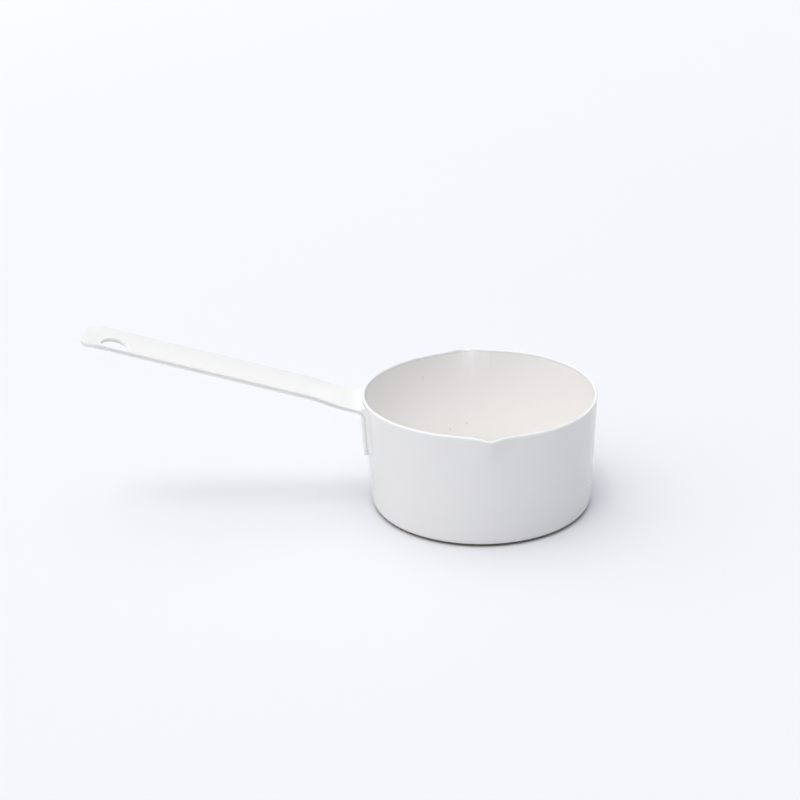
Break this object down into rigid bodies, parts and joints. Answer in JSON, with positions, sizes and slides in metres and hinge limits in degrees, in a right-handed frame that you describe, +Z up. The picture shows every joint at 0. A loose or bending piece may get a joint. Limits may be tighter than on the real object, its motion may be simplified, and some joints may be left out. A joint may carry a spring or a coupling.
{
  "type": "milk pan",
  "caption": "Small white enamelled steel pan: straight drawn bowl, a pouring lip on each side, and a long rising strap handle with a hanging hole.",
  "frame": {"origin": "centre of the base, on the surface that the pan stands on", "axes": "+Z up along the bowl's axis, the handle along -X, the pouring lips at +Y and -Y"},
  "size_m": [0.2577, 0.1272, 0.0988],
  "materials": {
    "steel": "satin",
    "weld_steel": "satin",
    "inside_white": "gloss",
    "outside_white": "gloss",
    "rim_white": "gloss",
    "handle_white": "gloss",
    "ground_coat": "satin"
  },
  "bodies": {
    "root": {"bowl_shell": "steel", "inside_enamel": "inside_white", "outside_enamel": "outside_white", "rim_bead": "rim_white", "base_coat": "ground_coat", "handle_strap": "steel", "handle_enamel": "handle_white", "spot_welds": "weld_steel"}
  },
  "joints": []
}
